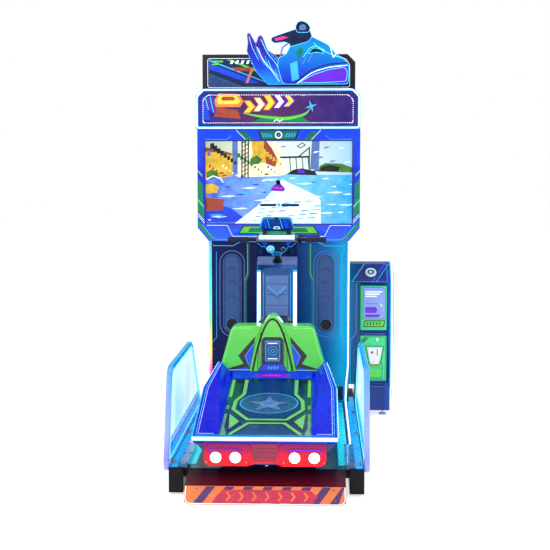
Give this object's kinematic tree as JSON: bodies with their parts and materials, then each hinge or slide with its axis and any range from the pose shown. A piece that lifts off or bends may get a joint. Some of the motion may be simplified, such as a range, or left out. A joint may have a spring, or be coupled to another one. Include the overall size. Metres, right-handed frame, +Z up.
{
  "type": "ride-on arcade cabinet",
  "caption": "Ride-on water-scooter arcade cabinet: rolling hull with saddle and handlebar, side guards, lit screen tower and payment column.",
  "frame": {"origin": "on the floor, at the foot of the centre support under the middle of the base, on the scooter's symmetry plane", "axes": "+X to the rider's right, +Y from the ramp towards the screen, +Z up"},
  "size_m": [1.278, 2.4, 2.58],
  "materials": {
    "frame_black": "satin black powder coat",
    "cap_black": "moulded black plastic",
    "steel": "zinc-plated steel",
    "rubber_black": "matt black rubber",
    "floor_black": "gloss black coated sheet",
    "ramp_print": "printed hazard stripes over black",
    "guard_cyan": "gloss cyan coat with a lavender sheen",
    "clear_acrylic": "edge-lit clear acrylic",
    "kick_blue": "gloss azure panel",
    "board_navy": "board with a navy printed film",
    "light_white": "diffuser over white light strips",
    "print_blue": "board with a royal-blue printed film",
    "bezel_print": "printed acrylic in blue, teal and lime",
    "screen_picture": "lit display behind glass",
    "monitor_black": "black plastic",
    "marquee_art": "backlit printed acrylic, blue to purple",
    "topper_art": "printed acrylic cut-out",
    "speaker_black": "black cone and basket",
    "electronics_grey": "grey case, weighed as plastic because it is a closed block",
    "fan_black": "black plastic",
    "coin_navy": "board with a gloss navy film",
    "coin_green": "green coated steel door",
    "pay_lavender": "lavender display panel",
    "mech_silver": "bright metal",
    "reader_white": "white plastic",
    "button_red": "red plastic",
    "hull_blue": "gloss navy-blue moulding",
    "deck_blue": "gloss royal-blue moulding",
    "deck_art": "gloss panel with lime lines",
    "seat_green": "gloss lime-green moulding",
    "saddle_black": "black upholstery",
    "tail_red": "translucent red moulding",
    "lens_cream": "warm white lens",
    "column_blue": "slate-blue moulding",
    "pod_blue": "dark blue moulding",
    "shield_blue": "tinted blue acrylic",
    "grip_rubber": "ribbed rubber",
    "button_blue": "lit blue plastic"
  },
  "bodies": {
    "base": {"base_frame": "frame_black", "rail_end_caps": "cap_black", "leveling_feet": "steel", "base_deck": "floor_black", "ramp_cover": "ramp_print", "guard_frames": "guard_cyan", "guard_glass": "clear_acrylic", "guard_kick_panels": "kick_blue", "guard_brackets": "steel", "edge_lights": "light_white", "cabinet_sides": "board_navy", "cabinet_front": "board_navy", "cabinet_shelves": "board_navy", "hinge_pins": "steel", "game_computer": "electronics_grey", "power_supply": "electronics_grey", "ring_lights": "light_white", "speakers": "speaker_black", "screen_housing": "print_blue", "bezel_panel": "bezel_print", "screen_glass": "screen_picture", "monitor": "monitor_black", "marquee_box": "print_blue", "marquee_light": "light_white", "marquee_panel": "marquee_art", "topper_box": "print_blue", "topper_craft": "topper_art", "coin_box": "coin_navy", "card_reader": "reader_white", "bearing_blocks": "steel", "bump_stops": "rubber_black"},
    "scooter": {"hull": "hull_blue", "hull_deck": "hull_blue", "deck_moulding": "deck_blue", "deck_panel": "deck_art", "scooter_lights": "light_white", "tail_housing": "tail_red", "tail_lenses": "lens_cream", "cowl_wings": "seat_green", "cowl_arch": "seat_green", "seat_base": "hull_blue", "saddle": "saddle_black", "front_column": "column_blue", "roll_shaft": "steel"},
    "steering": {"handlebar": "steel", "grips": "grip_rubber", "control_pod": "pod_blue", "pod_light": "light_white", "windshield": "shield_blue"},
    "throttle": {"throttle_lever": "mech_silver"},
    "start": {"start_button": "button_blue"},
    "back_door": {"rear_door": "board_navy", "exhaust_fan": "fan_black"},
    "fan": {"fan_rotor": "fan_black"},
    "coin_hatch": {"coin_door": "coin_green", "coin_mech": "mech_silver", "return_cup": "electronics_grey"},
    "return_flap": {"coin_return_flap": "coin_green"},
    "reject": {"reject_button": "button_red"},
    "pay_hatch": {"payment_door": "pay_lavender"}
  },
  "joints": [
    {"name": "roll", "type": "hinge", "parent": "base", "child": "scooter", "pos_m": [0, 0, 0.156], "axis": [0, 1, 0], "range_deg": [-6, 6], "stiffness_Nm_per_rad": 1500},
    {"name": "steer", "type": "hinge", "parent": "scooter", "child": "steering", "pos_m": [0, 0.44985, 1.08324], "axis": [0, -0.4226, 0.9063], "range_deg": [-30, 30], "stiffness_Nm_per_rad": 12},
    {"name": "throttle", "type": "hinge", "parent": "steering", "child": "throttle", "pos_m": [0.141, 0.43721, 1.24286], "axis": [0, 0.4226, -0.9063], "range_deg": [0, 14], "stiffness_Nm_per_rad": 0.8},
    {"name": "start_press", "type": "slide", "parent": "steering", "child": "start", "axis": [0, 0.9063, 0.4226], "range_m": [0, 0.0035], "stiffness_N_per_m": 600},
    {"name": "back_door_swing", "type": "hinge", "parent": "base", "child": "back_door", "pos_m": [-0.4295, 1.192, 0.16], "axis": [0, 0, 1], "range_deg": [0, 90]},
    {"name": "fan_spin", "type": "hinge", "parent": "back_door", "child": "fan", "pos_m": [0, 1.17, 0.9], "axis": [0, 1, 0], "continuous": true},
    {"name": "coin_hatch_swing", "type": "hinge", "parent": "base", "child": "coin_hatch", "pos_m": [0.544, 0.938, 0.244], "axis": [0, 0, -1], "range_deg": [0, 90]},
    {"name": "return_flap_swing", "type": "hinge", "parent": "coin_hatch", "child": "return_flap", "pos_m": [0.634, 0.933, 0.324], "axis": [1, 0, 0], "range_deg": [0, 50]},
    {"name": "reject_press", "type": "slide", "parent": "coin_hatch", "child": "reject", "axis": [0, 1, 0], "range_m": [0, 0.004], "stiffness_N_per_m": 400},
    {"name": "pay_hatch_swing", "type": "hinge", "parent": "base", "child": "pay_hatch", "pos_m": [0.544, 0.938, 0.585], "axis": [0, 0, -1], "range_deg": [0, 90]}
  ]
}
